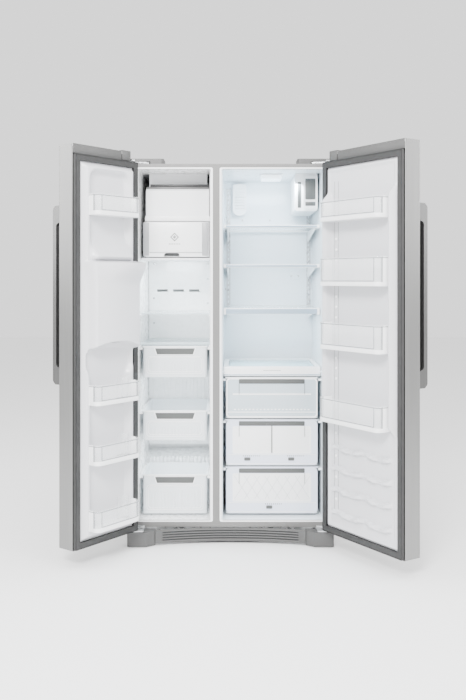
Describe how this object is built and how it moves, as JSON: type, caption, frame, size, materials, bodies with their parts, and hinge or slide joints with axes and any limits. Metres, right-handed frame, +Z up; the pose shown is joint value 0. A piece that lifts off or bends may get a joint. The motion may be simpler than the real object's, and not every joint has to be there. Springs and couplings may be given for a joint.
{
  "type": "side by side refrigerator",
  "caption": "Upright two-door refrigerator standing open, with freezer on the left, fresh food on the right, pull-out drawers, glass shelves, door bins and a front dispenser.",
  "frame": {"origin": "on the floor below the centre of the whole outline as stored, doors open", "axes": "+X to the right seen from the front, +Y from front to back, +Z up"},
  "size_m": [1.5348, 1.1264, 1.732],
  "materials": {
    "cabinet_paint": "satin",
    "door_steel": "satin",
    "liner_white": "gloss",
    "foam": "matte",
    "frame_grey": "satin",
    "zinc_steel": "satin",
    "dark_plastic": "matte",
    "grey_plastic": "satin",
    "seal_grey": "matte",
    "black_paint": "satin",
    "bare_aluminium": "satin",
    "white_plastic": "satin",
    "clear_plastic": "gloss",
    "shelf_glass": "polished",
    "lens": "gloss",
    "roller": "satin"
  },
  "bodies": {
    "cabinet": {"back_panel": "zinc_steel", "base_grille": "frame_grey", "base_pan": "zinc_steel", "basket_cover": "shelf_glass", "bottom_hinges": "zinc_steel", "cabinet_shell": "cabinet_paint", "compressor": "black_paint", "condenser_coil": "bare_aluminium", "deli_cover": "shelf_glass", "drain_pan": "dark_plastic", "duct_cover": "white_plastic", "evaporator": "bare_aluminium", "evaporator_cover": "liner_white", "fan_shroud": "dark_plastic", "filter_housing": "white_plastic", "foam_insulation": "foam", "foot_covers": "frame_grey", "freezer_liner": "liner_white", "freezer_shelf": "shelf_glass", "fresh_food_liner": "liner_white", "front_frame": "frame_grey", "hinge_covers": "frame_grey", "ice_maker": "white_plastic", "ice_maker_cover": "white_plastic", "leveling_legs": "zinc_steel", "light_lens": "lens", "rear_access_cover": "zinc_steel", "shelf_frames": "white_plastic", "shelf_glass": "shelf_glass", "shelf_tracks": "zinc_steel", "top_hinges": "zinc_steel", "water_valve": "white_plastic"},
    "freezer_door": {"freezer_door_panel": "door_steel", "freezer_door_liner": "liner_white", "freezer_door_gasket": "seal_grey", "freezer_handle": "door_steel", "freezer_bins": "clear_plastic", "dispenser_housing": "dark_plastic", "drip_tray": "dark_plastic"},
    "fridge_door": {"fridge_door_panel": "door_steel", "fridge_door_liner": "liner_white", "fridge_door_gasket": "seal_grey", "fridge_handle": "door_steel", "fridge_bins": "clear_plastic"},
    "condenser_fan": {"condenser_fan": "dark_plastic"},
    "evaporator_fan": {"evaporator_fan": "dark_plastic"},
    "front_rollers": {"front_rollers": "roller"},
    "rear_rollers": {"rear_rollers": "roller"},
    "filter_cap": {"filter_cap": "white_plastic"},
    "ice_bin": {"ice_bin": "white_plastic"},
    "basket_upper": {"basket_upper": "white_plastic"},
    "basket_middle": {"basket_middle": "white_plastic"},
    "basket_lower": {"basket_lower": "white_plastic"},
    "crisper_upper": {"crisper_upper": "clear_plastic"},
    "crisper_middle": {"crisper_middle": "clear_plastic"},
    "crisper_lower": {"crisper_lower": "clear_plastic"},
    "slider_left": {"slider_left": "grey_plastic"},
    "slider_right": {"slider_right": "grey_plastic"},
    "slider_lower": {"slider_lower": "grey_plastic"},
    "dispenser_paddle": {"dispenser_paddle": "dark_plastic"}
  },
  "joints": [
    {"name": "freezer_door_hinge", "type": "hinge", "parent": "cabinet", "child": "freezer_door", "pos_m": [-0.46995, -0.11278, 0.9], "axis": [0, 0, -1], "range_deg": [-126.8, 18]},
    {"name": "fridge_door_hinge", "type": "hinge", "parent": "cabinet", "child": "fridge_door", "pos_m": [0.41705, -0.11278, 0.9], "axis": [0, 0, 1], "range_deg": [-122.4, 22]},
    {"name": "ice_bin_slide", "type": "slide", "parent": "cabinet", "child": "ice_bin", "axis": [0, -1, 0], "range_m": [0, 0.24]},
    {"name": "basket_upper_slide", "type": "slide", "parent": "cabinet", "child": "basket_upper", "axis": [0, -1, 0], "range_m": [0, 0.22]},
    {"name": "basket_middle_slide", "type": "slide", "parent": "cabinet", "child": "basket_middle", "axis": [0, -1, 0], "range_m": [0, 0.22]},
    {"name": "basket_lower_slide", "type": "slide", "parent": "cabinet", "child": "basket_lower", "axis": [0, -1, 0], "range_m": [0, 0.22]},
    {"name": "crisper_upper_slide", "type": "slide", "parent": "cabinet", "child": "crisper_upper", "axis": [0, -1, 0], "range_m": [0, 0.2]},
    {"name": "crisper_middle_slide", "type": "slide", "parent": "cabinet", "child": "crisper_middle", "axis": [0, -1, 0], "range_m": [0, 0.2]},
    {"name": "crisper_lower_slide", "type": "slide", "parent": "cabinet", "child": "crisper_lower", "axis": [0, -1, 0], "range_m": [0, 0.2]},
    {"name": "slider_left_slide", "type": "slide", "parent": "crisper_middle", "child": "slider_left", "axis": [1, 0, 0], "range_m": [-0.008, 0.046]},
    {"name": "slider_right_slide", "type": "slide", "parent": "crisper_middle", "child": "slider_right", "axis": [1, 0, 0], "range_m": [-0.008, 0.046]},
    {"name": "slider_lower_slide", "type": "slide", "parent": "crisper_lower", "child": "slider_lower", "axis": [1, 0, 0], "range_m": [-0.008, 0.046]},
    {"name": "paddle_pivot", "type": "hinge", "parent": "freezer_door", "child": "dispenser_paddle", "pos_m": [-0.55574, -0.28589, 1.122], "axis": [-0.599, -0.8007, 0], "range_deg": [0, 12], "stiffness_Nm_per_rad": 0.6},
    {"name": "filter_cap_hinge", "type": "hinge", "parent": "cabinet", "child": "filter_cap", "pos_m": [0.34355, 0.09222, 1.654], "axis": [-1, 0, 0], "range_deg": [0, 75]},
    {"name": "condenser_fan_spin", "type": "hinge", "parent": "cabinet", "child": "condenser_fan", "pos_m": [-0.07145, 0.43722, 0.15], "axis": [1, 0, 0], "continuous": true},
    {"name": "evaporator_fan_spin", "type": "hinge", "parent": "cabinet", "child": "evaporator_fan", "pos_m": [-0.27945, 0.45721, 1.54], "axis": [0, 1, 0], "continuous": true},
    {"name": "front_rollers_spin", "type": "hinge", "parent": "cabinet", "child": "front_rollers", "pos_m": [-0.02645, 0.04722, 0.024], "axis": [1, 0, 0], "continuous": true},
    {"name": "rear_rollers_spin", "type": "hinge", "parent": "cabinet", "child": "rear_rollers", "pos_m": [-0.02645, 0.48522, 0.024], "axis": [1, 0, 0], "continuous": true}
  ]
}
